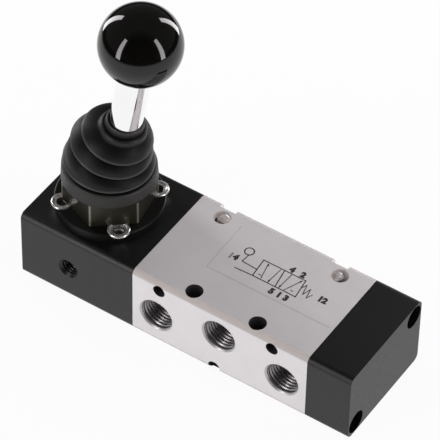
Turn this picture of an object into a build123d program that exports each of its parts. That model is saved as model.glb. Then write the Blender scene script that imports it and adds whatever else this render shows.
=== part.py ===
from build123d import *
import os
from math import asin, atan2, cos, degrees, radians, sin, sqrt, tan

os.makedirs("parts", exist_ok=True)

# Hand lever spool valve, 5/2-way, spring return, G1/8 ports.
# Origin: centre of the valve body's underside. +X runs along the spool towards
# the end cap, -Y faces the supply and exhaust ports, +Z points up.
# All lengths in millimetres, angles in degrees.

# ---- envelope -------------------------------------------------------------
valve_w = 31.0            # across Y, shared by housing, body and cap
valve_h = 20.5            # across Z
body_l = 49.0             # silver middle body
housing_l = 32.5          # black lever housing
cap_l = 12.0              # black end cap
edge_r = 1.6              # rounding of the long edges

# ---- fits -----------------------------------------------------------------
run_fit = 0.05            # radial clearance of a part that slides or turns
seat_fit = 0.02           # radial clearance of a part that is seated for good
soft_fit = 0.3            # clearance round a rubber part

# ---- spool bore -----------------------------------------------------------
spool_z = 9.6             # height of the spool axis
bore_r = 5.5              # bore that holds the seals and spacers
spool_r = 3.5
waist_r = 2.2
seal_w = 2.0
land_lap = 0.35           # how far a land overlaps a closed seal
end_ring_l = 1.3125       # guide ring at each end of the stack

# ---- ports, G1/8 ----------------------------------------------------------
port_r = 4.283            # thread minor radius
port_mouth_r = 5.1
port_depth = 7.5
front_side_z = 9.0        # ports 5 and 3
front_mid_z = 12.8        # port 1
back_z = 9.6              # ports 4 and 2
passage_r = 2.3           # drilling from a port into the bore

# ---- mounting holes of the body -------------------------------------------
side_hole_r = 1.65        # holes that run across the valve
side_hole_drop = 2.6      # axis below the top face
side_hole_pitch = 31.7
side_hole_x = -1.1        # middle of the pair, and of the lower groove
groove_z = 1.35
notch_w = 4.5             # bolt seats in the top edge of the back face
notch_depth = 1.8
top_hole_r = 2.15         # holes that run from top to bottom
front_hole_edge = 2.95    # front pair, axis to the front face
back_hole_edge = 4.55     # back pair, axis to the back face

# ---- screws, M3 -----------------------------------------------------------
screw_r = 1.5
screw_clear_r = 1.65
head_r = 2.75
head_h = 3.0
counterbore_r = 3.0
hex_key_r = 1.45          # socket, across corners / 2
hex_key_depth = 1.5
end_screw_side = 3.3      # diagonal pair, axis to the side face
end_screw_drop = 3.2      # axis to the top or bottom face
end_thread = 5.0          # engagement in the body
cap_screw_grip = 4.0      # cap material under the head
housing_recess = 5.0      # depth of the housing's counterbores
thread_spare = 0.8        # drilled past the screw tip

# ---- spring side ----------------------------------------------------------
spring_room_r = 4.6
spring_room_depth = 9.0
spring_r = 3.3            # mean coil radius
wire_r = 0.4
spring_turns = 3.5
spring_gap = 0.1          # between an end turn and its seat
seat_disc_r = 4.3
seat_disc_t = 1.0
seat_hub_r = 2.2
seat_hub_l = 2.4
spool_overhang = 0.8      # spool end past the body at rest
oring_r = 0.5             # section radius of the end-face O-rings
oring_ring_r = 6.9        # middle radius of the ring

# ---- lever ----------------------------------------------------------------
pivot_x = -41.7
tilt = 8.92               # lean at rest; the throw is twice this
lever_l = 57.4            # pivot to knob centre
arm_l = 10.9              # pivot to drive ball, reaches the spool axis
swivel_r = 6.0
drive_r = 2.5
arm_r = 1.6
swivel_flat = 4.4         # height of the flat that carries the rod
pin_r = 1.25
pin_half = 9.5
rod_r = 4.0
stud_r = 2.5
lower_stud_l = 7.0
upper_stud_l = 11.0
knob_r = 10.0
knob_flat_r = 4.6
insert_r = 3.9
insert_l = 9.5

# ---- driver ---------------------------------------------------------------
driver_r = 4.5
driver_tail = 6.0         # slot centre to the left end
driver_nose = 9.0         # slot centre to the spool
slot_floor = 2.7          # slot floor below the spool axis
spigot_r = 2.0
spigot_l = 4.5
driver_room = 1.6         # free travel behind the driver at rest

# ---- lever housing --------------------------------------------------------
arm_hole_r = 3.3
vent_r = 2.1              # M5 vent, minor radius
vent_mouth_r = 2.8
vent_x = -43.3
flange_r = 13.5
flange_t = 2.4
flange_screw_half = 8.2   # half side of the square of four screws
flange_thread = 6.5
csk_land = 0.2
spigot_seat_r = 7.6       # recess that centres the collar
spigot_seat_h = 0.9

# ---- hexagonal collar -----------------------------------------------------
collar_flats = 20.1       # across flats
collar_h = 7.1
collar_turn = -50.0       # direction of one flat, seen from above
collar_edge = 0.35
neck_r = 8.2
neck_h = 1.8
barb_r = 9.3
barb_h = 1.4
collar_bore_r = 5.6
collar_mouth_r = 6.85

# ---- rubber boot ----------------------------------------------------------
# Heights are above the collar's top face, shifts are from the pivot towards +X.
boot_wall = 1.0
boot_gap = 0.1            # skirt above the collar's face
boot_bead_h = 1.5
boot_skirt_r = 11.6
skirt_h = 4.0
skirt_top_r = 11.3
skirt_lean = 3.0
rim_1_h = 5.6
rim_1_r = 11.0
rim_1_lean = 5.0
rim_2_h = 10.6
rim_2_r = 10.0
rim_2_shift = 0.6
rim_2_lean = 16.0
rim_3_h = 14.8
rim_3_r = 8.7
rim_3_shift = 2.3
rim_3_lean = 18.0
lip_h = 18.5
lip_r = 6.0
lip_shift = 4.1
lip_lean = 12.0
boot_neck_h = 20.8
boot_neck_r = 5.4
boot_neck_shift = 4.7
crease_h = 0.8            # crease below each rim
crease_in = 0.7           # and how far it steps in

# ---- derived places -------------------------------------------------------
body_left = -body_l / 2
body_right = body_l / 2
housing_left = body_left - housing_l
cap_right = body_right + cap_l
pivot_z = valve_h                      # the pin lies in the housing's top joint
port_pitch = (body_l - 2 * end_ring_l - seal_w) / 5    # one chamber to the next
stroke = 2 * arm_l * sin(radians(tilt))
slot_x = pivot_x - arm_l * sin(radians(tilt))
driver_left = slot_x - driver_tail
driver_right = slot_x + driver_nose
flange_top = valve_h + flange_t
collar_top = flange_top + collar_h
end_screws = [(valve_w / 2 - end_screw_side, valve_h - end_screw_drop),
              (end_screw_side - valve_w / 2, end_screw_drop)]
flange_screws_xy = [(pivot_x + sx * flange_screw_half, sy * flange_screw_half)
                    for sx in (-1, 1) for sy in (-1, 1)]
front_ports = [(-2 * port_pitch, front_side_z), (0.0, front_mid_z),
               (2 * port_pitch, front_side_z)]
back_ports = [(-port_pitch, back_z), (port_pitch, back_z)]
seal_xs = [port_pitch * (i - 2.5) for i in range(6)]
side_holes_x = [side_hole_x - side_hole_pitch / 2, side_hole_x + side_hole_pitch / 2]
side_hole_z = valve_h - side_hole_drop
front_hole_x = port_pitch              # between port 1 and ports 5 and 3
front_hole_y = front_hole_edge - valve_w / 2
back_hole_x = (port_pitch + body_right) / 2    # between an outlet and the body's end
back_hole_y = valve_w / 2 - back_hole_edge
boot_rims = [(0.0, rim_1_h, rim_1_lean, rim_1_r),
             (rim_2_shift, rim_2_h, rim_2_lean, rim_2_r),
             (rim_3_shift, rim_3_h, rim_3_lean, rim_3_r),
             (lip_shift, lip_h, lip_lean, lip_r)]

# ---- derived directions ---------------------------------------------------
spool_axis = Axis((0, 0, spool_z), (1, 0, 0))
spool_plane = Plane(origin=(0, 0, spool_z), x_dir=(1, 0, 0), z_dir=(0, -1, 0))
lean = radians(tilt)
lever_axis = Axis((pivot_x, 0, pivot_z), (sin(lean), 0, cos(lean)))
lever_plane = Plane(origin=(pivot_x, 0, pivot_z), x_dir=(cos(lean), 0, -sin(lean)),
                    z_dir=(0, -1, 0))
stand_axis = Axis((pivot_x, 0, 0), (0, 0, 1))
stand_plane = Plane(origin=(pivot_x, 0, 0), x_dir=(1, 0, 0), z_dir=(0, -1, 0))


def front_face(x, z):
    return Plane(origin=(x, -valve_w / 2, z), x_dir=(1, 0, 0), z_dir=(0, -1, 0))


def back_face(x, z):
    return Plane(origin=(x, valve_w / 2, z), x_dir=(-1, 0, 0), z_dir=(0, 1, 0))


def end_face(x, y, z, way):
    return Plane(origin=(x, y, z), x_dir=(0, way, 0), z_dir=(way, 0, 0))


# ---- valve body -----------------------------------------------------------
with BuildPart() as valve_body:
    with BuildSketch(Plane.YZ.offset(body_left)):
        with Locations((0, valve_h / 2)):
            RectangleRounded(valve_w, valve_h, edge_r)
    extrude(amount=body_l)
    # bore for the seal stack
    with BuildSketch(Plane.YZ.offset(body_left)):
        with Locations((0, spool_z)):
            Circle(bore_r)
    extrude(amount=body_l, mode=Mode.SUBTRACT)
    # supply and exhaust ports in the front face, outlets in the back face
    for x, z in front_ports:
        with Locations(front_face(x, z)):
            CounterSinkHole(port_r, port_mouth_r, port_depth, 90)
        with Locations(front_face(x, z)):
            Hole(passage_r, valve_w / 2 - bore_r / 2)
    for x, z in back_ports:
        with Locations(back_face(x, z)):
            CounterSinkHole(port_r, port_mouth_r, port_depth, 90)
        with Locations(back_face(x, z)):
            Hole(passage_r, valve_w / 2 - bore_r / 2)
    # bolt holes across the valve, with open seats in the back top edge
    for x in side_holes_x:
        with Locations(front_face(x, side_hole_z)):
            Hole(side_hole_r, valve_w)
        with BuildSketch(back_face(x, side_hole_z)):
            Circle(notch_w / 2)
            with Locations((0, notch_w / 2)):
                Rectangle(notch_w, notch_w)
        extrude(amount=-notch_depth, mode=Mode.SUBTRACT)
    # lower bolt groove, open through the underside
    with Locations(front_face(side_hole_x, groove_z)):
        Hole(side_hole_r, valve_w)
    # bolt holes from top to bottom
    with BuildSketch(Plane.XY):
        with Locations((-front_hole_x, front_hole_y), (front_hole_x, front_hole_y),
                       (-back_hole_x, back_hole_y), (back_hole_x, back_hole_y)):
            Circle(top_hole_r)
    extrude(amount=valve_h, mode=Mode.SUBTRACT)
    # tapped holes for the cap and housing screws
    for y, z in end_screws:
        with Locations(end_face(body_right, y, z, 1), end_face(body_left, y, z, -1)):
            Hole(screw_r + seat_fit, end_thread + thread_spare)

# ---- lever housing --------------------------------------------------------
with BuildPart() as lever_housing:
    with BuildSketch(Plane.YZ.offset(housing_left)):
        with Locations((0, valve_h / 2)):
            RectangleRounded(valve_w, valve_h, edge_r)
    extrude(amount=housing_l)
    # guide bore of the driver, blind towards the end wall
    with BuildSketch(Plane.YZ.offset(body_left)):
        with Locations((0, spool_z)):
            Circle(driver_r + run_fit)
    extrude(amount=driver_left - driver_room - body_left, mode=Mode.SUBTRACT)
    # lower half of the swivel seat and the passage of the drive arm
    with BuildSketch(stand_plane):
        with BuildLine():
            Line((0, spool_z), (arm_hole_r, spool_z))
            Line((arm_hole_r, spool_z), (arm_hole_r, pivot_z - sqrt((swivel_r + run_fit) ** 2
                                                                      - arm_hole_r ** 2)))
            RadiusArc((arm_hole_r, pivot_z - sqrt((swivel_r + run_fit) ** 2 - arm_hole_r ** 2)),
                      (swivel_r + run_fit, pivot_z), -(swivel_r + run_fit))
            Line((swivel_r + run_fit, pivot_z), (0, pivot_z))
            Line((0, pivot_z), (0, spool_z))
        make_face()
    revolve(axis=stand_axis, mode=Mode.SUBTRACT)
    # lower half of the pin bearing
    with BuildSketch(Plane.XZ.offset(-pin_half - soft_fit)):
        with Locations((pivot_x, pivot_z)):
            Circle(pin_r + run_fit)
    extrude(amount=2 * (pin_half + soft_fit), mode=Mode.SUBTRACT)
    # tapped holes of the flange screws
    with BuildSketch(Plane.XY.offset(valve_h)):
        with Locations(*flange_screws_xy):
            Circle(screw_r + seat_fit)
    extrude(amount=-flange_thread - thread_spare, mode=Mode.SUBTRACT)
    # M5 vent into the driver's chamber
    with Locations(front_face(vent_x, spool_z)):
        CounterSinkHole(vent_r, vent_mouth_r, valve_w / 2 - driver_r / 2, 90)
    # long screws that pull the housing against the body
    for y, z in end_screws:
        with Locations(end_face(housing_left, y, z, -1)):
            CounterBoreHole(screw_clear_r, counterbore_r, housing_recess, housing_l)

# ---- end cap --------------------------------------------------------------
with BuildPart() as end_cap:
    with BuildSketch(Plane.YZ.offset(body_right)):
        with Locations((0, valve_h / 2)):
            RectangleRounded(valve_w, valve_h, edge_r)
    extrude(amount=cap_l)
    with BuildSketch(Plane.YZ.offset(body_right)):
        with Locations((0, spool_z)):
            Circle(spring_room_r)
    extrude(amount=spring_room_depth, mode=Mode.SUBTRACT)
    # groove of the face seal
    with BuildSketch(Plane.YZ.offset(body_right)):
        with Locations((0, spool_z)):
            Circle(oring_ring_r + oring_r + seat_fit)
            Circle(oring_ring_r - oring_r - seat_fit, mode=Mode.SUBTRACT)
    extrude(amount=2 * oring_r, mode=Mode.SUBTRACT)
    for y, z in end_screws:
        with Locations(end_face(cap_right, y, z, 1)):
            CounterBoreHole(screw_clear_r, counterbore_r, cap_l - cap_screw_grip, cap_l)

# ---- seal stack -----------------------------------------------------------
with BuildPart() as seal_rings:
    for x in seal_xs:
        with BuildSketch(Plane.YZ.offset(x - seal_w / 2)):
            with Locations((0, spool_z)):
                Circle(bore_r - seat_fit)
                Circle(spool_r + run_fit, mode=Mode.SUBTRACT)
        extrude(amount=seal_w)

spacer_l = port_pitch - seal_w
spacer_in_r = spool_r + 0.7
with BuildPart() as seal_spacers:
    for i in range(5):
        x = seal_xs[i] + seal_w / 2
        with BuildSketch(Plane.YZ.offset(x)):
            with Locations((0, spool_z)):
                Circle(bore_r - seat_fit)
                Circle(spacer_in_r, mode=Mode.SUBTRACT)
        extrude(amount=spacer_l)
    # cross drillings that let the air through each spacer
    for i in range(5):
        x = (seal_xs[i] + seal_xs[i + 1]) / 2
        for turn in (0, 90):
            cross = Plane(origin=(x, 0, spool_z), x_dir=(1, 0, 0),
                          z_dir=(0, sin(radians(turn)), cos(radians(turn))))
            with BuildSketch(cross):
                Circle(passage_r)
            extrude(amount=2 * bore_r, both=True, mode=Mode.SUBTRACT)

with BuildPart() as end_rings:
    for x in (body_left, body_right - end_ring_l):
        with BuildSketch(Plane.YZ.offset(x)):
            with Locations((0, spool_z)):
                Circle(bore_r - seat_fit)
                Circle(spool_r + run_fit, mode=Mode.SUBTRACT)
        extrude(amount=end_ring_l)

with BuildPart() as face_seal:
    with BuildSketch(Plane.YZ.offset(body_right)):
        with Locations((0, spool_z)):
            Circle(oring_ring_r + oring_r)
            Circle(oring_ring_r - oring_r, mode=Mode.SUBTRACT)
    extrude(amount=2 * oring_r)
    chamfer(face_seal.edges(), oring_r / 2)

# ---- spool ----------------------------------------------------------------
spool_right = body_right + spool_overhang
with BuildPart() as spool:
    with BuildSketch(spool_plane):
        with BuildLine():
            pts = [(driver_right - spigot_l, 0), (driver_right - spigot_l, spigot_r),
                   (driver_right, spigot_r), (driver_right, spool_r)]
            for i in (1, 3):
                start = seal_xs[i] + seal_w / 2 + land_lap - stroke
                stop = seal_xs[i + 1] - seal_w / 2 - land_lap
                step = spool_r - waist_r
                pts += [(start - step / 2, spool_r), (start, waist_r),
                        (stop, waist_r), (stop + step / 2, spool_r)]
            pts += [(spool_right, spool_r), (spool_right, spigot_r),
                    (spool_right + seat_disc_t + seat_hub_l, spigot_r),
                    (spool_right + seat_disc_t + seat_hub_l, 0)]
            Polyline(*pts, close=True)
        make_face()
    revolve(axis=spool_axis)

with BuildPart() as spring_seat:
    with BuildSketch(Plane.YZ.offset(spool_right)):
        with Locations((0, spool_z)):
            Circle(seat_disc_r)
    extrude(amount=seat_disc_t)
    with BuildSketch(Plane.YZ.offset(spool_right + seat_disc_t)):
        with Locations((0, spool_z)):
            Circle(seat_hub_r + spigot_r / 4)
    extrude(amount=seat_hub_l)
    with BuildSketch(Plane.YZ.offset(spool_right)):
        with Locations((0, spool_z)):
            Circle(spigot_r + seat_fit)
    extrude(amount=seat_disc_t + seat_hub_l, mode=Mode.SUBTRACT)

# ---- return spring --------------------------------------------------------
spring_left = spool_right + seat_disc_t + spring_gap + wire_r
spring_right = body_right + spring_room_depth - spring_gap - wire_r
with BuildPart() as return_spring:
    with BuildLine():
        coil = Helix(pitch=(spring_right - spring_left) / spring_turns,
                     height=spring_right - spring_left, radius=spring_r,
                     center=(spring_left, 0, spool_z), direction=(1, 0, 0))
    with BuildSketch(Plane(origin=coil @ 0, z_dir=coil % 0)):
        RegularPolygon(wire_r, 8)
    sweep(path=coil, is_frenet=True)

# ---- driver ---------------------------------------------------------------
with BuildPart() as driver:
    with BuildSketch(Plane.YZ.offset(driver_left)):
        with Locations((0, spool_z)):
            Circle(driver_r)
    extrude(amount=driver_right - driver_left)
    chamfer(driver.edges().filter_by(GeomType.CIRCLE), 0.5)
    # cross slot for the drive ball
    with BuildSketch(Plane.XZ.offset(-driver_r)):
        with Locations((slot_x, spool_z - slot_floor)):
            Rectangle(2 * (drive_r + run_fit), 2 * driver_r,
                      align=(Align.CENTER, Align.MIN))
    extrude(amount=2 * driver_r, mode=Mode.SUBTRACT)
    # socket of the spool's spigot
    with BuildSketch(Plane.YZ.offset(driver_right)):
        with Locations((0, spool_z)):
            Circle(spigot_r + seat_fit)
    extrude(amount=-spigot_l, mode=Mode.SUBTRACT)

# ---- swivel: ball, drive arm, drive ball and stud, one turned part ---------
with BuildPart() as swivel:
    with BuildSketch(lever_plane):
        join_drive = -arm_l + sqrt(drive_r ** 2 - arm_r ** 2)
        join_swivel = -sqrt(swivel_r ** 2 - arm_r ** 2)
        flat_r = sqrt(swivel_r ** 2 - swivel_flat ** 2)
        with BuildLine():
            RadiusArc((0, -arm_l - drive_r), (drive_r, -arm_l), -drive_r)
            RadiusArc((drive_r, -arm_l), (arm_r, join_drive), -drive_r)
            Line((arm_r, join_drive), (arm_r, join_swivel))
            RadiusArc((arm_r, join_swivel), (swivel_r, 0), -swivel_r)
            RadiusArc((swivel_r, 0), (flat_r, swivel_flat), -swivel_r)
            Line((flat_r, swivel_flat), (stud_r, swivel_flat))
            Line((stud_r, swivel_flat), (stud_r, swivel_flat + lower_stud_l))
            Line((stud_r, swivel_flat + lower_stud_l), (0, swivel_flat + lower_stud_l))
            Line((0, swivel_flat + lower_stud_l), (0, -arm_l - drive_r))
        make_face()
    revolve(axis=lever_axis)
    with BuildSketch(Plane.XZ.offset(-swivel_r)):
        with Locations((pivot_x, pivot_z)):
            Circle(pin_r + seat_fit)
    extrude(amount=2 * swivel_r, mode=Mode.SUBTRACT)

with BuildPart() as pivot_pin:
    with BuildSketch(Plane.XZ.offset(-pin_half)):
        with Locations((pivot_x, pivot_z)):
            Circle(pin_r)
    extrude(amount=2 * pin_half)
    chamfer(pivot_pin.edges().filter_by(GeomType.CIRCLE), 0.2)

# ---- lever rod, knob and its threaded insert --------------------------------
knob_flat = lever_l - sqrt(knob_r ** 2 - knob_flat_r ** 2)
with BuildPart() as lever_rod:
    with BuildSketch(lever_plane):
        with BuildLine():
            Polyline((stud_r + seat_fit, swivel_flat), (rod_r, swivel_flat),
                     (rod_r, knob_flat - 0.4), (rod_r - 0.4, knob_flat), (stud_r, knob_flat),
                     (stud_r, knob_flat + upper_stud_l), (0, knob_flat + upper_stud_l),
                     (0, swivel_flat + lower_stud_l), (stud_r + seat_fit,
                                                       swivel_flat + lower_stud_l), close=True)
        make_face()
    revolve(axis=lever_axis)

with BuildPart() as ball_knob:
    with BuildSketch(lever_plane):
        with BuildLine():
            RadiusArc((knob_flat_r, knob_flat), (knob_r, lever_l), -knob_r)
            RadiusArc((knob_r, lever_l), (0, lever_l + knob_r), -knob_r)
            Polyline((0, lever_l + knob_r), (0, knob_flat + upper_stud_l),
                     (insert_r + seat_fit, knob_flat + upper_stud_l),
                     (insert_r + seat_fit, knob_flat), (knob_flat_r, knob_flat))
        make_face()
    revolve(axis=lever_axis)

with BuildPart() as knob_insert:
    with BuildSketch(lever_plane):
        with BuildLine():
            Polyline((stud_r + seat_fit, knob_flat), (insert_r, knob_flat),
                     (insert_r, knob_flat + insert_l), (stud_r + seat_fit, knob_flat + insert_l),
                     close=True)
        make_face()
    revolve(axis=lever_axis)

# ---- flange disc ----------------------------------------------------------
with BuildPart() as flange_disc:
    with BuildSketch(Plane.XY.offset(valve_h)):
        with Locations((pivot_x, 0)):
            Circle(flange_r)
    extrude(amount=flange_t)
    chamfer(flange_disc.edges().group_by(Axis.Z)[-1], 0.3)
    # upper half of the swivel seat, then the recess that centres the collar
    seat_r = swivel_r + run_fit
    seat_up = flange_t - spigot_seat_h
    with BuildSketch(stand_plane):
        with BuildLine():
            Line((0, pivot_z), (seat_r, pivot_z))
            RadiusArc((seat_r, pivot_z), (sqrt(seat_r ** 2 - seat_up ** 2), pivot_z + seat_up),
                      -seat_r)
            Polyline((sqrt(seat_r ** 2 - seat_up ** 2), pivot_z + seat_up),
                     (spigot_seat_r, pivot_z + seat_up), (spigot_seat_r, flange_top),
                     (0, flange_top), (0, pivot_z))
        make_face()
    revolve(axis=stand_axis, mode=Mode.SUBTRACT)
    with BuildSketch(Plane.XZ.offset(-pin_half - soft_fit)):
        with Locations((pivot_x, pivot_z)):
            Circle(pin_r + run_fit)
    extrude(amount=2 * (pin_half + soft_fit), mode=Mode.SUBTRACT)
    for x, y in flange_screws_xy:
        with Locations(Plane(origin=(x, y, flange_top), z_dir=(0, 0, 1))):
            CounterSinkHole(screw_clear_r, head_r + csk_land + seat_fit, flange_t + 1, 90)

# ---- hexagonal collar -----------------------------------------------------
with BuildPart() as hex_collar:
    with BuildSketch(Plane.XY.offset(flange_top)):
        with Locations((pivot_x, 0)):
            RegularPolygon(collar_flats / 2, 6, major_radius=False, rotation=collar_turn + 30)
    extrude(amount=collar_h)
    # a turned chamfer breaks the corners, top and bottom
    corner_r = collar_flats / sqrt(3)
    with BuildSketch(stand_plane):
        with BuildLine():
            Polyline((0, flange_top), (corner_r - collar_edge, flange_top),
                     (corner_r, flange_top + collar_edge / 2),
                     (corner_r, collar_top - collar_edge / 2),
                     (corner_r - collar_edge, collar_top), (0, collar_top), close=True)
        make_face()
    revolve(axis=stand_axis, mode=Mode.INTERSECT)
    # spigot below, barbed neck for the boot above
    with BuildSketch(stand_plane):
        with BuildLine():
            Polyline((0, flange_top - spigot_seat_h), (spigot_seat_r - seat_fit,
                                                       flange_top - spigot_seat_h),
                     (spigot_seat_r - seat_fit, flange_top), (neck_r, flange_top),
                     (neck_r, collar_top + neck_h), (barb_r, collar_top + neck_h),
                     (barb_r, collar_top + neck_h + barb_h / 2),
                     (neck_r, collar_top + neck_h + barb_h),
                     (0, collar_top + neck_h + barb_h), close=True)
        make_face()
    revolve(axis=stand_axis)
    # clearance cone of the rod over the swivel
    with BuildSketch(stand_plane):
        with BuildLine():
            Polyline((0, flange_top - spigot_seat_h), (swivel_r, flange_top - spigot_seat_h),
                     (collar_bore_r, flange_top),
                     (collar_mouth_r, collar_top + neck_h + barb_h),
                     (0, collar_top + neck_h + barb_h), close=True)
        make_face()
    revolve(axis=stand_axis, mode=Mode.SUBTRACT)

# ---- screws ---------------------------------------------------------------
with BuildPart() as flange_screws:
    for x, y in flange_screws_xy:
        screw_plane = Plane(origin=(x, y, 0), x_dir=(1, 0, 0), z_dir=(0, -1, 0))
        with BuildSketch(screw_plane):
            with BuildLine():
                Polyline((0, valve_h - flange_thread), (screw_r - 0.3, valve_h - flange_thread),
                         (screw_r, valve_h - flange_thread + 0.3),
                         (screw_r, flange_top - csk_land - head_r + screw_r),
                         (head_r, flange_top - csk_land), (head_r, flange_top),
                         (0, flange_top), close=True)
            make_face()
        revolve(axis=Axis((x, y, 0), (0, 0, 1)))
    with BuildSketch(Plane.XY.offset(flange_top)):
        with Locations(*flange_screws_xy):
            RegularPolygon(hex_key_r, 6)
    extrude(amount=-hex_key_depth * 0.8, mode=Mode.SUBTRACT)

cap_head_x = cap_right - (cap_l - cap_screw_grip)
with BuildPart() as cap_screws:
    for y, z in end_screws:
        with BuildSketch(Plane(origin=(0, y, z), x_dir=(1, 0, 0), z_dir=(0, -1, 0))):
            with BuildLine():
                Polyline((body_right - end_thread, 0), (body_right - end_thread, screw_r - 0.3),
                         (body_right - end_thread + 0.3, screw_r), (cap_head_x, screw_r),
                         (cap_head_x, head_r), (cap_head_x + head_h - 0.2, head_r),
                         (cap_head_x + head_h, head_r - 0.2), (cap_head_x + head_h, 0),
                         close=True)
            make_face()
        revolve(axis=Axis((0, y, z), (1, 0, 0)))
        with BuildSketch(end_face(cap_head_x + head_h, y, z, 1)):
            RegularPolygon(hex_key_r, 6)
        extrude(amount=-hex_key_depth, mode=Mode.SUBTRACT)

housing_head_x = housing_left + housing_recess
with BuildPart() as housing_screws:
    for y, z in end_screws:
        with BuildSketch(Plane(origin=(0, y, z), x_dir=(1, 0, 0), z_dir=(0, -1, 0))):
            with BuildLine():
                Polyline((body_left + end_thread, 0), (body_left + end_thread, screw_r - 0.3),
                         (body_left + end_thread - 0.3, screw_r), (housing_head_x, screw_r),
                         (housing_head_x, head_r), (housing_head_x - head_h + 0.2, head_r),
                         (housing_head_x - head_h, head_r - 0.2), (housing_head_x - head_h, 0),
                         close=True)
            make_face()
        revolve(axis=Axis((0, y, z), (1, 0, 0)))
        with BuildSketch(end_face(housing_head_x - head_h, y, z, -1)):
            RegularPolygon(hex_key_r, 6)
        extrude(amount=-hex_key_depth, mode=Mode.SUBTRACT)


# ---- rubber boot ----------------------------------------------------------
def leaning(x, z, lean_deg):
    a = radians(lean_deg)
    return Plane(origin=(x, 0, z), x_dir=(cos(a), 0, -sin(a)), z_dir=(sin(a), 0, cos(a)))


boot_base = collar_top + boot_gap
with BuildPart() as boot:
    with BuildSketch(Plane(origin=(pivot_x, 0, boot_base), z_dir=(0, 0, 1))):
        Circle(boot_skirt_r)
    with BuildSketch(leaning(pivot_x, collar_top + skirt_h, skirt_lean)):
        Circle(skirt_top_r)
    # every fold is a crease, then its rim
    for shift, rim_h, rim_lean, rim_r in boot_rims:
        back_step = crease_h * tan(radians(rim_lean))
        with BuildSketch(leaning(pivot_x + shift - back_step, collar_top + rim_h - crease_h,
                                 rim_lean)):
            Circle(rim_r - crease_in)
        with BuildSketch(leaning(pivot_x + shift, collar_top + rim_h, rim_lean)):
            Circle(rim_r)
    with BuildSketch(leaning(pivot_x + boot_neck_shift, collar_top + boot_neck_h, tilt)):
        Circle(boot_neck_r)
    loft(ruled=True)
    # hollow above the bead that grips the collar's neck
    with BuildSketch(Plane(origin=(pivot_x, 0, boot_base + boot_bead_h), z_dir=(0, 0, 1))):
        Circle(boot_skirt_r - boot_wall - 0.4)
    for shift, rim_h, rim_lean, rim_r in boot_rims:
        back_step = crease_h * tan(radians(rim_lean))
        with BuildSketch(leaning(pivot_x + shift - back_step, collar_top + rim_h - crease_h,
                                 rim_lean)):
            Circle(rim_r - crease_in - boot_wall)
    loft(ruled=True, mode=Mode.SUBTRACT)
    with BuildSketch(Plane.XY.offset(boot_base)):
        with Locations((pivot_x, 0)):
            Circle(neck_r + seat_fit * 5)
    extrude(amount=boot_bead_h + boot_gap, mode=Mode.SUBTRACT)
    # way of the rod through the neck
    with BuildSketch(Plane(origin=lever_axis.position + lever_axis.direction * 22,
                           z_dir=lever_axis.direction)):
        Circle(rod_r + 0.12)
    extrude(amount=12, mode=Mode.SUBTRACT)

# ---- labels and files -----------------------------------------------------
pieces = {
    "valve_body": valve_body, "lever_housing": lever_housing, "end_cap": end_cap,
    "seal_rings": seal_rings, "seal_spacers": seal_spacers, "end_rings": end_rings,
    "face_seal": face_seal, "spool": spool, "spring_seat": spring_seat,
    "return_spring": return_spring, "driver": driver, "swivel": swivel,
    "pivot_pin": pivot_pin, "lever_rod": lever_rod, "ball_knob": ball_knob,
    "knob_insert": knob_insert, "flange_disc": flange_disc, "hex_collar": hex_collar,
    "flange_screws": flange_screws, "cap_screws": cap_screws,
    "housing_screws": housing_screws, "boot": boot,
}
for name, piece in pieces.items():
    piece.part.label = name
    export_step(piece.part, f"parts/{name}.step")
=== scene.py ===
from math import cos, radians, sin

import bpy
import numpy as np
from mathutils import Matrix, Vector


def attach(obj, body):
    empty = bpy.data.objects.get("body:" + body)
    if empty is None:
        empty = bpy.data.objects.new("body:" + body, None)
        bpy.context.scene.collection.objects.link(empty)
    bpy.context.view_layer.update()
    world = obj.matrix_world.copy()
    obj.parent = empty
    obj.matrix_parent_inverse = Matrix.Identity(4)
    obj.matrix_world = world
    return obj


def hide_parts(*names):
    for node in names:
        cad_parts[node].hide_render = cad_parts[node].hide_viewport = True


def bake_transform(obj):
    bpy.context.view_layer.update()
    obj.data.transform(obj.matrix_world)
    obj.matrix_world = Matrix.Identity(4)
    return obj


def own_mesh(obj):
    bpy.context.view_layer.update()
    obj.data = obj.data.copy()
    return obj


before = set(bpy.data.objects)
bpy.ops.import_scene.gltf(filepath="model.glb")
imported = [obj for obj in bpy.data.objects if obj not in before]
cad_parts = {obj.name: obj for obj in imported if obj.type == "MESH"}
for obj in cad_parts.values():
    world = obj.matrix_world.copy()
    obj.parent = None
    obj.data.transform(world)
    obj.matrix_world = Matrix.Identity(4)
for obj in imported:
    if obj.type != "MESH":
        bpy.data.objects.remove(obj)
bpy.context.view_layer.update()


# ---- Camera ---------------------------------------------------------------
# A long lens looks down on the front right corner, about 33 degrees round
# from the front and 46 degrees up, with the lever at the upper left.
def place(name, data):
    """Puts a camera, a lamp or a mesh into the scene as an object at the origin."""
    piece = bpy.data.objects.new(name, data)
    bpy.context.scene.collection.objects.link(piece)
    return piece


camera = place("camera", bpy.data.cameras.new("camera"))
camera.data.sensor_width = 36.0
camera.data.lens = 287.25
camera.data.clip_start = 0.05
camera.data.clip_end = 20.0
stand = (0.2959, -0.4754, 0.6283)
right = (0.83138, 0.55547, 0.01596)
up = (-0.41200, 0.59687, 0.68847)
back = (0.37290, -0.57896, 0.72509)
camera.matrix_world = (Matrix.Translation(stand)
                       @ Matrix((right, up, back)).transposed().to_4x4())
bpy.context.scene.camera = camera
bpy.context.scene.view_settings.view_transform = "Standard"


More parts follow.
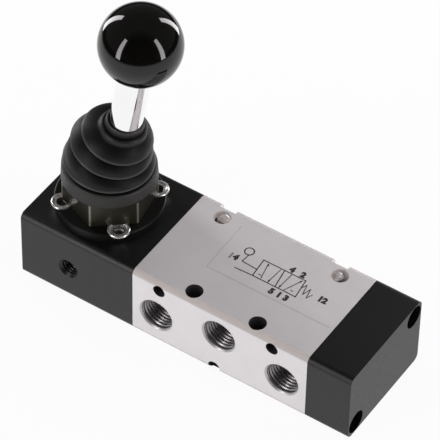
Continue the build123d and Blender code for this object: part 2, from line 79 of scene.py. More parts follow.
# ---- Light tent -----------------------------------------------------------
# A dim cloth tent with a lit tube standing in each of its four corners, and
# white paper on its floor. The tent opens towards the camera.
def add_node(tree, kind, sockets={}, **settings):
    """A shader node with its settings and its filled sockets: a socket takes the plain value given
    for it, or a link where what is given is another node's output."""
    node = tree.nodes.new("ShaderNode" + kind)
    for key, value in settings.items():
        setattr(node, key, value)
    for key, value in sockets.items():
        if isinstance(value, bpy.types.NodeSocket):
            tree.links.new(value, node.inputs[key])
        else:
            node.inputs[key].default_value = value
    return node


world = bpy.data.worlds.new("tent")
bpy.context.scene.world = world
world.use_nodes = True
tree = world.node_tree
seen = add_node(tree, "LightPath")
where = add_node(tree, "TexCoord")
# the cloth darkens towards the tent's door, and lends scattered light a little more everywhere
door_way = (0.50, -0.78, 0.36)
door = add_node(tree, "VectorMath", {0: where.outputs["Generated"], 1: door_way},
                operation="DOT_PRODUCT")
cloth = add_node(tree, "MapRange", {"Value": door.outputs["Value"], "From Min": 0.45,
                                    "From Max": 0.80, "To Min": 0.13, "To Max": 0.012})
scattered = 0.20
soft = add_node(tree, "Math", {0: seen.outputs["Is Diffuse Ray"], 1: scattered,
                               2: cloth.outputs["Result"]}, operation="MULTIPLY_ADD")
room = tree.nodes["Background"]
room.inputs["Color"].default_value = (1.0, 0.98, 0.95, 1)
tree.links.new(soft.outputs[0], room.inputs["Strength"])
plain = add_node(tree, "Background", {"Color": (1, 1, 1, 1)})
ways = add_node(tree, "Math", {0: seen.outputs["Is Camera Ray"],
                               1: seen.outputs["Is Transmission Ray"]}, operation="MAXIMUM")
pick = add_node(tree, "MixShader", {"Fac": ways.outputs[0], 1: room.outputs[0],
                                    2: plain.outputs[0]})
tree.links.new(pick.outputs[0], tree.nodes["World Output"].inputs["Surface"])

lever_mid_x = -0.033
floor_gap = 0.002


def corner_tube(name, bearing, reach, wide, tall, watts):
    """A lit panel that stands on the floor at a bearing from +X, in degrees, and a distance from
    the lever, and faces the lever."""
    lamp = bpy.data.lights.new(name, "AREA")
    lamp.shape = "RECTANGLE"
    lamp.size, lamp.size_y, lamp.energy = wide, tall, watts
    lamp.color = (1.0, 0.965, 0.98)
    way = Vector((cos(radians(bearing)), sin(radians(bearing)), 0))
    spot = Vector((lever_mid_x, 0, tall / 2 + floor_gap)) + way * reach
    facing = way.to_track_quat("Z", "Y").to_matrix().to_4x4()
    place(name, lamp).matrix_world = Matrix.Translation(spot) @ facing


corner_tube("tube_left_far", 166.5, 0.27, 0.055, 0.26, 0.42)
corner_tube("tube_left_near", -112.0, 0.42, 0.085, 0.47, 1.05)
corner_tube("tube_right_near", 0.5, 0.42, 0.085, 0.47, 1.05)
corner_tube("tube_right_far", 76.0, 0.27, 0.055, 0.26, 0.42)

# the paper is a flat grid just under the valve
marks = 24
half_sheet = 2.5
paper_z = -0.0002
edge = np.linspace(-half_sheet, half_sheet, marks)
gx, gy = np.meshgrid(edge, edge, indexing="ij")
points = np.stack([gx, gy, np.full_like(gx, paper_z)], -1).reshape(-1, 3)
square = np.arange((marks - 1) * (marks - 1))
first = (square // (marks - 1)) * marks + square % (marks - 1)
squares = np.stack([first, first + marks, first + marks + 1, first + 1], -1)
paper_mesh = bpy.data.meshes.new("paper")
paper_mesh.from_pydata(points.tolist(), [], squares.tolist())
paper = place("paper", paper_mesh)

# for the camera it glows white everywhere and in reflections only round the valve, and to all
# other light it is plain paper
white = bpy.data.materials.new("white_paper")
white.use_nodes = True
tree = white.node_tree
sheet = tree.nodes["Principled BSDF"]
sheet.inputs["Base Color"].default_value = (0.86, 0.86, 0.86, 1)
sheet.inputs["Roughness"].default_value = 0.9
sheet.inputs["Specular IOR Level"].default_value = 0.1
where = add_node(tree, "TexCoord")
far = add_node(tree, "VectorMath", {0: where.outputs["Object"]}, operation="LENGTH")
pool_from, pool_to = 0.24, 0.36
pool = add_node(tree, "MapRange", {"Value": far.outputs["Value"], "From Min": pool_from,
                                   "From Max": pool_to, "To Min": 1.0, "To Max": 0.0})
seen = add_node(tree, "LightPath")
full = add_node(tree, "Mix", {"Factor": seen.outputs["Is Camera Ray"],
                              "A": pool.outputs["Result"], "B": 1.0})
glow = add_node(tree, "Emission", {"Color": (1, 1, 1, 1), "Strength": full.outputs["Result"]})
sharp = add_node(tree, "Math", {0: seen.outputs["Is Camera Ray"],
                                1: seen.outputs["Is Glossy Ray"]}, operation="MAXIMUM")
glow_share = 0.94
share = add_node(tree, "Math", {0: sharp.outputs[0], 1: glow_share}, operation="MULTIPLY")
blend = add_node(tree, "MixShader", {"Fac": share.outputs[0], 1: sheet.outputs[0],
                                     2: glow.outputs[0]})
tree.links.new(blend.outputs[0], tree.nodes["Material Output"].inputs["Surface"])
paper_mesh.materials.append(white)


# ---- Valve body -----------------------------------------------------------
# An extruded aluminium bar, blasted and clear anodised. The faces are pale
# and satin, with faint draw lines along the bar and a slight mottling.
def lay_on(node, material):
    """Gives every slot of a CAD node the one material."""
    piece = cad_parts[node]
    if piece.material_slots:
        for slot in piece.material_slots:
            slot.material = material
    else:
        piece.data.materials.append(material)


def surface(name, dark, light, metallic, rough, stretch=(1, 1, 1), grain=2600.0, mottle=140.0,
            height=0.000012, rough_spread=0.08, spec=0.5):
    """A finish whose colour drifts between dark and light with a broad mottling, whose roughness
    wanders by rough_spread, and whose bump is a fine grain stretched along the given axes."""
    noise_low, noise_high = 0.3, 0.7
    bump_strength = 0.6
    m = bpy.data.materials.new(name)
    m.use_nodes = True
    t = m.node_tree
    shader = t.nodes["Principled BSDF"]
    shader.inputs["Metallic"].default_value = metallic
    shader.inputs["Specular IOR Level"].default_value = spec
    where = add_node(t, "TexCoord", name="where")
    turn = add_node(t, "Mapping", {"Scale": stretch, "Vector": where.outputs["Object"]})
    broad = add_node(t, "TexNoise", {"Scale": mottle, "Detail": 5.0,
                                     "Vector": where.outputs["Object"]})
    fine = add_node(t, "TexNoise", {"Scale": grain, "Detail": 3.0,
                                    "Vector": turn.outputs["Vector"]})
    tint = add_node(t, "Mix", {"A": (*dark, 1), "B": (*light, 1), "Factor": broad.outputs["Fac"]},
                    data_type="RGBA", name="tint")
    spread = add_node(t, "MapRange", {"From Min": noise_low, "From Max": noise_high,
                                      "To Min": rough - rough_spread,
                                      "To Max": rough + rough_spread,
                                      "Value": fine.outputs["Fac"]})
    relief = add_node(t, "Bump", {"Strength": bump_strength, "Distance": height,
                                  "Height": fine.outputs["Fac"]})
    t.links.new(tint.outputs["Result"], shader.inputs["Base Color"])
    t.links.new(spread.outputs["Result"], shader.inputs["Roughness"])
    t.links.new(relief.outputs["Normal"], shader.inputs["Normal"])
    return m


silver_metal, silver_gloss = 0.45, 0.5
silver = surface("silver_anodised", (0.78, 0.755, 0.77), (0.86, 0.835, 0.85), silver_metal, 0.42,
                 stretch=(0.12, 1, 1), grain=3200.0, height=0.000004, rough_spread=0.05,
                 spec=silver_gloss)
# the rounded edges are painted darker and lose their shine, a painted shade that stands in for the
# shade on a sharper edge: the largest part of the normal along any one axis is 1 on a flat and
# falls on a rounded edge, and sets the share of the painted shade
tree = silver.node_tree
shader = tree.nodes["Principled BSDF"]
split = add_node(tree, "SeparateXYZ", {0: tree.nodes["where"].outputs["Normal"]})
along_x, along_y, along_z = [add_node(tree, "Math", {0: split.outputs[letter]},
                                      operation="ABSOLUTE") for letter in "XYZ"]
larger = add_node(tree, "Math", {0: along_x.outputs[0], 1: along_y.outputs[0]},
                  operation="MAXIMUM")
largest = add_node(tree, "Math", {0: larger.outputs[0], 1: along_z.outputs[0]},
                   operation="MAXIMUM")
edge_share = add_node(tree, "MapRange", {"Value": largest.outputs[0], "From Min": 0.999,
                                         "From Max": 0.94})
edge_shade = add_node(tree, "Mix", {"Factor": edge_share.outputs["Result"],
                              "A": tree.nodes["tint"].outputs["Result"],
                              "B": (0.60, 0.555, 0.54, 1)}, data_type="RGBA")
tree.links.new(edge_shade.outputs["Result"], shader.inputs["Base Color"])
for socket, value in (("Metallic", silver_metal), ("Specular IOR Level", silver_gloss)):
    fade = add_node(tree, "MapRange", {"Value": edge_share.outputs["Result"], "To Min": value,
                                       "To Max": 0.0})
    tree.links.new(fade.outputs["Result"], shader.inputs[socket])
lay_on("valve_body", silver)


# ---- Port threads ---------------------------------------------------------
# G1/8 female threads, 28 to the inch, cut into the bright metal below each
# port's bevel. Each is a ridge that coils down to 7.4 mm below the face.
around = 72


def wall_quads(rows, cols):
    """The faces of a wall whose points lie in rows that go round: each joins a point to the next
    one round and to the two in the row beyond, and the last column joins the first."""
    row, col = np.meshgrid(np.arange(rows - 1), np.arange(cols), indexing="ij")
    here, beyond, after = row * cols, (row + 1) * cols, (col + 1) % cols
    return np.stack([here + col, here + after, beyond + after, beyond + col], -1).reshape(-1, 4)


def grid_piece(name, xyz):
    """A smooth surface through a grid of points: rows run along the first axis and the second goes
    round. Faces join each point to the next in both ways, and close round each row."""
    quads = wall_quads(*xyz.shape[:2])
    mesh = bpy.data.meshes.new(name)
    mesh.from_pydata(xyz.reshape(-1, 3).tolist(), [], quads.tolist())
    mesh.polygons.foreach_set("use_smooth", np.ones(len(quads), bool))
    mesh.update()
    return place(name, mesh)


def round_about(mouth, out, turn, radius, depth):
    """Points round the axis that leaves its mouth along out: each lies at its depth behind the
    mouth, and at its radius to the side that its turn points to."""
    along = -np.asarray(out, float)
    side = np.array([1.0, 0.0, 0.0])
    other = np.cross(along, side)
    return (np.asarray(mouth) + depth[..., None] * along
            + radius[..., None] * (np.cos(turn)[..., None] * side
                                   - np.sin(turn)[..., None] * other))


def cut_thread(name, mouth, out, root, crest, lead, depth, step):
    """The inner wall of a tapped hole. Its radius is root less a ridge towards crest that rises and
    falls once every step of depth, moves on by one step for each turn, and starts at lead."""
    rows_a_step = 14
    down = np.linspace(lead, depth, int((depth - lead) / step * rows_a_step))
    d, t = np.meshgrid(down, np.linspace(0, 2 * np.pi, around, endpoint=False), indexing="ij")
    phase = (d / step + t / (2 * np.pi)) % 1.0
    # straight flanks, cut flat at the crest and at the root
    ridge = np.clip(1.35 * (1 - np.abs(2 * phase - 1) * 1.25) + 0.05, 0, 1)
    start = np.clip((d - lead) / step, 0, 1)
    return grid_piece(name, round_about(mouth, out, t, root - (root - crest) * ridge * start, d))


def round_wall(name, mouth, out, rows, material):
    """A wall turned round the axis that leaves its mouth along out: rows of (radius, depth below
    the mouth) in millimetres, from the outermost row inwards, so that it faces axis and mouth."""
    radius, depth = np.asarray(rows, float).T * 0.001
    turn = np.linspace(0, 2 * np.pi, around, endpoint=False)[None, :]
    wall = grid_piece(name, round_about(mouth, out, turn, radius[:, None], depth[:, None]))
    wall.data.materials.append(material)
    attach(wall, "valve")


cut_metal = surface("cut_thread", (0.26, 0.25, 0.255), (0.36, 0.345, 0.35), 0.85, 0.34,
                    grain=3000.0, height=0.000002, rough_spread=0.04)
bevel = surface("bevel_cut", (0.48, 0.47, 0.47), (0.60, 0.585, 0.59), 0.6, 0.42,
                grain=3000.0, height=0.000001, rough_spread=0.04)
# millimetres: a ring flush with the face narrows the bevel below it
proud = -0.012
ring_rows = [(5.13, proud), (4.74, proud)]
bevel_rows = [(4.74, proud), (4.66, 0.02), (4.40, 0.30), (4.26, 0.46)]
# metres: the valve's half width and the thread's sizes
half_w = 0.0155
root_r, crest_r = 0.004272, 0.003900
thread_from, thread_to = 0.00042, 0.0074
pitch = 0.000907
for name, x, y, z, way in (("port_5", -0.01775, -half_w, 0.0090, -1),
                           ("port_1", 0.0, -half_w, 0.0128, -1),
                           ("port_3", 0.01775, -half_w, 0.0090, -1),
                           ("port_4", -0.008875, half_w, 0.0096, 1),
                           ("port_2", 0.008875, half_w, 0.0096, 1)):
    mouth, out = (x, y, z), (0, way, 0)
    round_wall(f"{name}_face", mouth, out, ring_rows, silver)
    round_wall(f"{name}_bevel", mouth, out, bevel_rows, bevel)
    coil = cut_thread(f"{name}_thread", mouth, out, root_r, crest_r, thread_from, thread_to, pitch)
    coil.data.materials.append(cut_metal)
    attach(coil, "valve")


# ---- Drilled holes --------------------------------------------------------
# The bolt holes are drilled after the bar is finished. Their walls are lined in dark grey, a
# painted shade for the shade deep inside them. The back pair stays open near the top, where the
# cross holes enter.
bore_shade = surface("bore_wall_shade", (0.060, 0.057, 0.056), (0.110, 0.106, 0.104), 0.5, 0.45,
                  stretch=(1, 1, 6), grain=1500.0, height=0.000002)
top_r, cross_r = 2.138, 1.638
cross_z, cross_from, cross_to = 0.0179, 0.05, 23.8
bore_rows = 20
for name, x, y, z, length in (("top_bore_a", -8.875, -12.55, 20.45, 20.3),
                              ("top_bore_b", 8.875, -12.55, 20.45, 20.3),
                              ("top_bore_c", -16.6875, 10.95, 14.0, 13.9),
                              ("top_bore_d", 16.6875, 10.95, 14.0, 13.9)):
    round_wall(name, (x * 0.001, y * 0.001, z * 0.001), (0, 0, 1),
               [(top_r, d) for d in np.linspace(0, length, bore_rows)], bore_shade)
for name, x in (("side_bore_a", -16.95), ("side_bore_b", 14.75)):
    round_wall(name, (x * 0.001, -half_w, cross_z), (0, -1, 0),
               [(cross_r, d) for d in np.linspace(cross_from, cross_to, bore_rows)], bore_shade)

# the lower bolt hole runs so close to the underside that its wall is cut flat at the bottom, and
# it starts further in where the bar's long edge is rounded
low_x, low_z, floor_z = -1.1, 1.35, 0.03
edge_r, mouth_y = 1.6, -15.47
groove_around = 64
turn = np.linspace(0, 2 * np.pi, groove_around, endpoint=False)
hole_z = np.maximum(low_z + cross_r * np.sin(turn), floor_z)
in_edge = np.minimum(hole_z, edge_r)
start = mouth_y + (edge_r - np.sqrt(edge_r ** 2 - (edge_r - in_edge) ** 2))
run = start[None, :] * (1 - 2 * np.linspace(0, 1, bore_rows)[:, None])
hole_x = np.broadcast_to(low_x + cross_r * np.cos(turn), run.shape)
groove = grid_piece("lower_bore",
                    np.stack([hole_x, run, np.broadcast_to(hole_z, run.shape)], -1) * 0.001)
# the groove's wall is lined in the same dark painted shade
groove.data.materials.append(bore_shade)
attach(groove, "valve")


# ---- Circuit symbol -------------------------------------------------------
# The 5/2-way circuit symbol and the port numbers are printed in black on the
# top face: two boxes, a lever at the left and a spring at the right.
ink = surface("printing_ink", (0.012, 0.012, 0.014), (0.03, 0.03, 0.032), 0.0, 0.55, grain=3000.0)
rubbed = surface("rubbed_ink", (0.20, 0.195, 0.20), (0.42, 0.41, 0.415), 0.3, 0.5, mottle=1500.0)
ink_lift = 0.00002
print_z = 0.0205 + ink_lift


def printed(name, mesh, material):
    """Places a flat printed mesh on the valve in its ink."""
    mark = place(name, mesh)
    mesh.materials.append(material)
    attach(mark, "valve")


def stroke_strip(name, runs, width, material):
    """Flat printed lines: each run of points, in millimetres, becomes a chain of thin rectangles of
    one width, each lengthened by half a width so that the corners close."""
    verts, faces = [], []
    for run in runs:
        p = np.asarray(run, float) * 0.001
        a, b = p[:-1], p[1:]
        u = (b - a) / np.linalg.norm(b - a, axis=1)[:, None]
        v = np.stack([-u[:, 1], u[:, 0]], -1) * width / 2
        e = u * width / 2
        flat = np.stack([a - e - v, b + e - v, b + e + v, a - e + v], 1).reshape(-1, 2)
        faces += (len(verts) + np.arange(len(flat)).reshape(-1, 4)).tolist()
        verts += np.c_[flat, np.full(len(flat), print_z)].tolist()
    mesh = bpy.data.meshes.new(name)
    mesh.from_pydata(verts, [], faces)
    printed(name, mesh, material)


turn = np.linspace(0, 2 * np.pi, 33)
thick, thin, hair = 0.00027, 0.00021, 0.00007
lever_x, lever_y, lever_r = -5.2, 5.35, 1.15
stroke_strip("symbol_lines", [
    [(-0.9, 4.95), (10.9, 4.95), (11.6, -0.7), (-0.4, -0.7), (-0.9, 4.95)],
    [(5.0, 4.95), (5.9, -0.7)],
    [(-5.2, -0.9), (-0.4, -0.7)],
    [(-4.7, 4.2), (-4.95, 1.75), (-0.7, 1.5)],
    np.c_[lever_x + lever_r * np.cos(turn), lever_y + lever_r * np.sin(turn)],
], thick, ink)
stroke_strip("symbol_ways", [
    [(0.7, 4.4), (1.7, -0.3)], [(4.1, 4.6), (3.7, -0.5)],
    [(7.1, 4.6), (6.8, -0.5)], [(10.2, 4.4), (8.2, -0.4)],
    [(0.6, 0.5), (1.2, 0.5)], [(9.6, 0.4), (10.2, 0.4)],
    [(11.3, 2.6), (11.9, 3.9), (12.6, 0.9), (13.3, 3.3), (13.9, 0.4), (14.6, 2.0)],
], thin, ink)

# an arrow head is a triangle, 0.9 mm long from its tip and 0.28 mm to each side
head_l, head_half = 0.9, 0.28
for name, tip, way in (("arrow_a", (0.75, 4.7), (-0.3, 1)), ("arrow_b", (3.7, -0.6), (0, -1)),
                       ("arrow_c", (6.8, -0.6), (0, -1)), ("arrow_d", (10.35, 4.7), (0.45, 1))):
    w = np.asarray(way, float) / np.hypot(*way)
    s = np.array([-w[1], w[0]])
    foot = tip - head_l * w
    tri = np.stack([np.asarray(tip), foot + head_half * s, foot - head_half * s]) * 0.001
    mesh = bpy.data.meshes.new(name)
    mesh.from_pydata(np.c_[tri, np.full(3, print_z)].tolist(), [], [(0, 1, 2)])
    printed(name, mesh, ink)

# the rubbed tens digit stands beside the ones digit of the same number
digit_size, digit_bold = 0.0023, 0.00018
for name, words, x, y in (("number_4", "4", 6.4, 6.1), ("number_2", "2", 9.4, 6.1),
                          ("number_5", "5", 6.0, -2.4), ("number_1", "1", 8.1, -2.4),
                          ("number_3", "3", 10.0, -2.4), ("number_12", "12", 17.4, 2.0),
                          ("number_14_tens", "1", -8.15, 1.75),
                          ("number_14_ones", "4", -6.85, 1.9)):
    text = bpy.data.curves.new(name, "FONT")
    text.body = words
    text.size = digit_size
    text.offset = digit_bold
    text.align_x, text.align_y = "CENTER", "CENTER"
    draft = place(name + "_draft", text)
    bpy.context.view_layer.update()
    mesh = bpy.data.meshes.new_from_object(draft)
    bpy.data.objects.remove(draft)
    mesh.transform(Matrix.Translation((x * 0.001, y * 0.001, print_z)))
    mesh.materials.clear()
    printed(name, mesh, rubbed if name == "number_14_tens" else ink)

faint = surface("label_edge", (0.36, 0.345, 0.355), (0.44, 0.42, 0.43), 0.6, 0.5)
stroke_strip("label_edge", [[(-11.3, 11.0), (-10.9, -4.4), (23.4, -4.35)]], hair, faint)


# ---- Lever housing and end cap --------------------------------------------
# Both are black anodised aluminium blocks, machined on every face. The black
# is deep and satin, and the vent in the housing has a fine M5 thread.
black = surface("black_anodised", (0.0022, 0.0022, 0.0020), (0.0042, 0.0040, 0.0036), 0.0, 0.42,
                stretch=(1, 1, 0.3), grain=2800.0, height=0.0000006, rough_spread=0.04, spec=0.42)
lay_on("lever_housing", black)
lay_on("end_cap", black)
vent_root_r, vent_crest_r = 0.002093, 0.00185
vent_from, vent_to, vent_pitch = 0.0007, 0.0060, 0.0008
coil = cut_thread("vent_thread", (-0.0433, -half_w, 0.0096), (0, -1, 0), vent_root_r,
                  vent_crest_r, vent_from, vent_to, vent_pitch)
coil.data.materials.append(surface("vent_cut", (0.02, 0.02, 0.02), (0.05, 0.05, 0.05), 0.6, 0.35))
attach(coil, "valve")


# ---- Seal stack, spool and spring -----------------------------------------
# Rubber rings and plastic spacers fill the bore. The steel spool, its driver
# and the return spring show only through the ports and the vent.
lay_on("seal_rings", surface("seal_rubber", (0.012, 0.012, 0.012), (0.03, 0.03, 0.03), 0.0, 0.6))
spacer = surface("spacer_plastic", (0.50, 0.47, 0.40), (0.60, 0.57, 0.50), 0.0, 0.5)
lay_on("seal_spacers", spacer)
lay_on("end_rings", spacer)
# the hidden face seal keeps model.glb's own plain material, which bears this name
lay_on("face_seal", bpy.data.materials["seal_rubber"])
lay_on("spool", surface("ground_spool", (0.55, 0.55, 0.56), (0.7, 0.7, 0.7), 1.0, 0.25,
                        stretch=(3, 1, 1)))
turned = surface("turned_steel", (0.42, 0.42, 0.43), (0.55, 0.55, 0.55), 1.0, 0.3)
for node in ("driver", "swivel", "pivot_pin"):
    lay_on(node, turned)
brass = surface("turned_brass", (0.55, 0.40, 0.16), (0.68, 0.50, 0.22), 1.0, 0.3)
lay_on("spring_seat", brass)
lay_on("knob_insert", brass)
# the spring is a round wire coiled three and a half times about the spool's axis: a circle across
# the wire is carried along the coil, and closes almost to a point at both ends
coil_from, coil_l, coil_r = np.array([26.8, 0.0, 9.6]), 6.2, 3.3
wire_r, end_r = 0.4, 0.01
full_turn, coil_rows, wire_around = 7 * np.pi, 240, 16
turn = np.linspace(0, full_turn, coil_rows)[:, None, None]
girth = np.linspace(0, 2 * np.pi, wire_around, endpoint=False)[None, :, None]
climb = coil_l / full_turn
x_way, y_way, z_way = np.eye(3)
outward = np.cos(turn) * y_way + np.sin(turn) * z_way
ahead = climb * x_way + coil_r * (-np.sin(turn) * y_way + np.cos(turn) * z_way)
ahead /= np.linalg.norm(ahead, axis=-1, keepdims=True)
beside = np.cross(ahead, outward)
wire = np.full((coil_rows, 1, 1), wire_r)
wire[[0, -1]] = end_r
spring = grid_piece("spring_coil", (coil_from + climb * turn * x_way + coil_r * outward
                                    + wire * (np.cos(girth) * outward
                                              + np.sin(girth) * beside)) * 0.001)
spring.data.materials.append(surface("spring_wire", (0.4, 0.4, 0.4), (0.55, 0.55, 0.55), 1.0, 0.3,
                                     height=0.000001, rough_spread=0.05))
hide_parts("return_spring")
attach(spring, "valve")
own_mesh(spring)


# ---- Flange disc, collar and screws ---------------------------------------
# A black anodised disc holds the swivel down with four bright screws. The hexagonal collar above it
# is blackened steel, painted bright at its corners: a painted highlight along the edges, and partly
# wear.
lay_on("flange_disc", surface("flange_black", (0.0028, 0.0028, 0.0024), (0.0052, 0.0050, 0.0044),
                              0.0, 0.46, grain=2500.0, height=0.0000006, rough_spread=0.04,
                              spec=0.16))
oxide = surface("black_oxide", (0.016, 0.0148, 0.0095), (0.040, 0.0365, 0.025), 0.5, 0.32,
                stretch=(1, 1, 0.15), grain=1300.0, height=0.0000015, rough_spread=0.05)
# the distance from the collar's upright axis tells the corners from the flats
tree = oxide.node_tree
reach = add_node(tree, "VectorMath", {0: tree.nodes["where"].outputs["Object"],
                                      1: (-0.0417, 0, 0)}, operation="SUBTRACT")
level = add_node(tree, "VectorMath", {0: reach.outputs["Vector"], 1: (1, 1, 0)},
                 operation="MULTIPLY")
from_axis = add_node(tree, "VectorMath", {0: level.outputs["Vector"]}, operation="LENGTH")
# the corners are painted bright, a painted highlight along the sharp edges and partly wear
corner_from, corner_to = 0.01138, 0.01158
corner_light_and_wear = add_node(tree, "MapRange", {"Value": from_axis.outputs["Value"], "From Min": corner_from,
                                   "From Max": corner_to})
bright_corner = add_node(tree, "Mix", {"Factor": corner_light_and_wear.outputs["Result"],
                              "A": tree.nodes["tint"].outputs["Result"],
                              "B": (0.30, 0.28, 0.22, 1)}, data_type="RGBA")
tree.links.new(bright_corner.outputs["Result"], tree.nodes["Principled BSDF"].inputs["Base Color"])
lay_on("hex_collar", oxide)

zinc = surface("bright_zinc", (0.80, 0.80, 0.80), (0.92, 0.92, 0.91), 0.85, 0.27, grain=3000.0,
               height=0.000001, rough_spread=0.04)
# one screw in (radius, height) rows: shank, countersunk head, rounded rim and dished face, then
# the key socket, whose rows give a hexagon's inner radius
turned_rows = np.array([(1.2, -8.9), (1.5, -8.6), (1.5, -5.0), (1.5, -1.72), (2.62, -0.58),
                        (2.74, -0.42), (2.79, -0.24), (2.78, -0.08), (2.72, 0.05), (2.62, 0.14),
                        (2.48, 0.19), (2.33, 0.19), (2.19, 0.14), (2.08, 0.06), (2.00, -0.03),
                        (1.92, -0.10), (1.70, -0.13), (1.56, -0.11), (1.48, -0.15)])
key_rows = np.array([(1.27, -0.20), (1.25, -0.28), (1.25, -1.35), (0.6, -1.40)])
foot_z, socket_z = -8.9, -1.42
turn = np.linspace(0, 2 * np.pi, around, endpoint=False)
# a hexagon's edge lies at its inner radius over the cosine of the angle from the nearest flat's
# middle
six = 1 / np.cos((turn % (np.pi / 3)) - np.pi / 6)
radius = np.r_[turned_rows[:, :1] * np.ones_like(turn), key_rows[:, :1] * six]
depth = np.r_[turned_rows[:, 1], key_rows[:, 1]]
ring = np.stack([radius * np.cos(turn), radius * np.sin(turn),
                 np.tile(depth[:, None], (1, around))], -1)
one = np.vstack([ring.reshape(-1, 3), [(0, 0, foot_z), (0, 0, socket_z)]])
rows = len(ring)
walls = wall_quads(rows, around)
col = np.arange(around)
after = (col + 1) % around
foot_cap = np.stack([np.full(around, rows * around), after, col], -1)
socket_cap = np.stack([np.full(around, rows * around + 1), (rows - 1) * around + col,
                       (rows - 1) * around + after], -1)
# four of them stand in a square round the lever's pivot
pivot_x, screw_half, screw_z = -41.7, 8.2, 22.9
verts, faces = [], []
for k, (sx, sy) in enumerate(((-1, -1), (-1, 1), (1, -1), (1, 1))):
    spot = np.array([pivot_x + screw_half * sx, screw_half * sy, screw_z])
    verts.append((one + spot) * 0.001)
    for part in (walls, foot_cap, socket_cap):
        faces += (part + k * len(one)).tolist()
mesh = bpy.data.meshes.new("flange_screw_set")
mesh.from_pydata(np.vstack(verts).tolist(), [], faces)
mesh.polygons.foreach_set("use_smooth", np.ones(len(faces), bool))
screws = place("flange_screw_set", mesh)
mesh.materials.append(zinc)
mesh.materials.append(surface("socket_shade", (0.10, 0.10, 0.095), (0.20, 0.20, 0.19), 0.9, 0.4,
                              grain=3000.0, height=0.000001, rough_spread=0.04))
# the socket's walls and its floor take the second material, a dark painted shade in the recess
inner = (np.arange(len(walls)) // around) >= len(turned_rows) - 1
inner = np.r_[inner, np.zeros(around, bool), np.ones(around, bool)]
mesh.polygons.foreach_set("material_index", np.tile(inner, 4).astype(np.int32))
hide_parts("flange_screws")
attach(screws, "valve")
dark_screw = surface("black_screw", (0.02, 0.02, 0.02), (0.035, 0.035, 0.035), 0.6, 0.35)
lay_on("cap_screws", dark_screw)
lay_on("housing_screws", dark_screw)


# ---- Rod and ball knob ----------------------------------------------------
# The rod is ground steel, chrome plated. The knob is a polished black
# phenolic ball, pressed on a threaded insert, with a small flat underneath.
lay_on("lever_rod", surface("chrome_rod", (0.90, 0.91, 0.905), (0.96, 0.965, 0.96), 1.0, 0.05,
                            grain=1500.0, height=0.0000003, rough_spread=0.02))
lay_on("ball_knob", surface("black_phenolic", (0.0022, 0.0022, 0.0020), (0.0045, 0.0042, 0.0036),
                            0.0, 0.055, grain=900.0, height=0.0000006, rough_spread=0.02,
                            spec=0.40))


# ---- Rubber boot ----------------------------------------------------------
# A moulded bellows of soft black rubber. Its skirt grips the collar's neck,
# three folds lean with the lever, and the neck hugs the rod.
def boot_skin(stations, turns):
    """A tube round a bent middle line: each station has a middle x and z, a lean and a radius, in
    millimetres and degrees, and its ring lies in the plane that leans that much towards +X."""
    s = np.asarray(stations, float)
    t = np.linspace(0, 2 * np.pi, turns, endpoint=False)
    a = np.radians(s[:, 2])[:, None]
    x = s[:, 0][:, None] + s[:, 3][:, None] * np.cos(t) * np.cos(a)
    y = s[:, 3][:, None] * np.sin(t)
    z = s[:, 1][:, None] - s[:, 3][:, None] * np.cos(t) * np.sin(a)
    return np.stack([x, y, z], -1) * 0.001


def fold(low, high, bulge, steps):
    """Stations from one ring to the next whose radius bows outwards by bulge half way."""
    k = np.linspace(0, 1, steps)[:, None]
    run = np.asarray(low) * (1 - k) + np.asarray(high) * k
    run[:, 3] += bulge * np.sin(np.pi * k[:, 0])
    return run


# rings are (middle x, middle z, lean, radius, tone), from the inside of the skirt's lower edge; the
# tone sets painted shade and light, from 0 in a dark crease to 1 on a pale rim
px = pivot_x
rings = [(px - 0.1, 30.1, 0, 8.5, 0.5), (px - 0.1, 30.1, 0, 11.5, 0.5),
         (px - 0.1, 30.3, 0, 11.7, 0.6), (px - 0.1, 33.6, 3, 11.5, 0.62),
         (px - 0.12, 34.0, 3, 11.3, 0.7)]
# each fold is a crease and then a rim, given by the rim's middle, lean and radius
for x, z, lean, r in ((px - 0.2, 35.3, 5, 11.0), (px + 0.6, 40.5, 16, 10.0),
                      (px + 2.3, 44.75, 18, 8.7)):
    rings += [(x - 0.30, z - 0.95, lean, r - 0.75, 0.1), (x - 0.22, z - 0.72, lean, r - 1.20, 0.0),
              (x - 0.12, z - 0.38, lean, r - 0.45, 0.1), (x - 0.06, z - 0.20, lean, r, 0.6),
              (x, z, lean, r + 0.10, 1.0), (x + 0.06, z + 0.20, lean, r - 0.02, 0.7),
              (x + 0.20, z + 0.60, lean, r - 0.22, 0.40)]
# the neck narrows to the rod, and its lip turns in
rings += [(px + 3.7, 47.5, 14, 5.9, 0.15), (px + 4.0, 48.1, 12, 5.75, 0.5),
          (px + 4.15, 48.6, 11, 5.65, 0.6), (px + 4.2, 48.9, 10, 5.45, 0.5),
          (px + 4.25, 49.2, 9, 5.0, 0.1), (px + 4.3, 49.25, 9, 4.8, 0.05),
          (px + 4.42, 50.0, 9, 4.68, 0.3), (px + 4.6, 50.8, 8.92, 4.6, 0.7),
          (px + 4.64, 51.0, 8.92, 4.45, 0.9), (px + 4.62, 50.9, 8.92, 4.15, 0.7),
          (px + 4.55, 50.5, 8.92, 4.06, 0.4), (px + 4.3, 49.0, 8.92, 4.06, 0.4)]
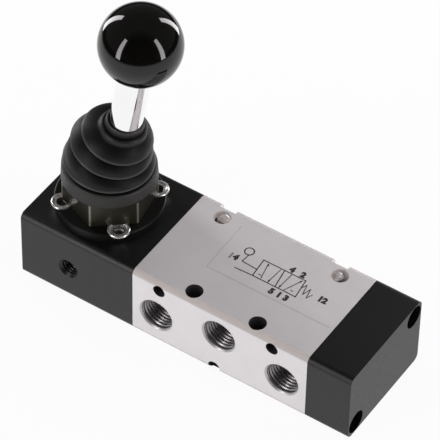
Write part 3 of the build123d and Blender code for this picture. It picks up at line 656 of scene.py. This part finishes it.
# a gap of more than 2 mm is a wall, which bows outwards above the skirt
wall_gap, skirt_top, bow = 2, 35, 0.30
wall_steps, rim_steps = 14, 4
boot_around = 128
parts, tones = [], []
for low, high in zip(rings[:-1], rings[1:]):
    gap = np.hypot(high[1] - low[1], high[3] - low[3])
    steps = wall_steps if gap > wall_gap else rim_steps
    bulge = bow if gap > wall_gap and high[1] > skirt_top else 0.0
    parts.append(fold(low[:4], high[:4], bulge, steps)[:-1])
    tones.append(np.linspace(low[4], high[4], steps)[:-1])
parts.append(np.asarray(rings[-1:], float)[:, :4])
tones.append([rings[-1][4]])
boot = grid_piece("boot_bellows", boot_skin(np.vstack(parts), boot_around))
shade_highlight_dust = boot.data.attributes.new("shade_highlight_dust", "FLOAT", "POINT")
shade_highlight_dust.data.foreach_set("value", np.repeat(np.concatenate(tones), boot_around).astype(np.float32))
rubber = surface("boot_rubber", (0.0055, 0.0055, 0.0052), (0.0095, 0.0095, 0.0090), 0.0, 0.50,
                 grain=1600.0, mottle=90.0, height=0.000003, rough_spread=0.06, spec=0.30)
# painted shade and painted highlight: tone 0 paints a crease near black and without gloss, where
# shade falls in it, 0.5 is the plain wall, and 1 paints a rim pale grey, partly dust and partly a
# painted highlight line
tree = rubber.node_tree
shader = tree.nodes["Principled BSDF"]
tone_in = add_node(tree, "Attribute", attribute_name="shade_highlight_dust")
rim_dust_and_light = add_node(tree, "MapRange", {"Value": tone_in.outputs["Fac"], "From Min": 0.5,
                                    "From Max": 1.0})
# the pale grey on the rims is partly dust and partly a painted highlight
pale = add_node(tree, "Mix", {"Factor": rim_dust_and_light.outputs["Result"],
                              "A": tree.nodes["tint"].outputs["Result"],
                              "B": (0.075, 0.073, 0.070, 1)}, data_type="RGBA")
out_of_crease_shade = add_node(tree, "MapRange", {"Value": tone_in.outputs["Fac"], "From Max": 0.5})
# the near black that a crease takes is painted shade
dim = add_node(tree, "Mix", {"Factor": out_of_crease_shade.outputs["Result"],
                             "A": (0.0008, 0.0008, 0.0008, 1),
                             "B": pale.outputs["Result"]}, data_type="RGBA")
tree.links.new(dim.outputs["Result"], shader.inputs["Base Color"])
wall_gloss = 0.32
gloss = add_node(tree, "Math", {0: out_of_crease_shade.outputs["Result"], 1: wall_gloss},
                 operation="MULTIPLY")
tree.links.new(gloss.outputs[0], shader.inputs["Specular IOR Level"])
boot.data.materials.append(rubber)
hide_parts("boot")
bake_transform(boot)
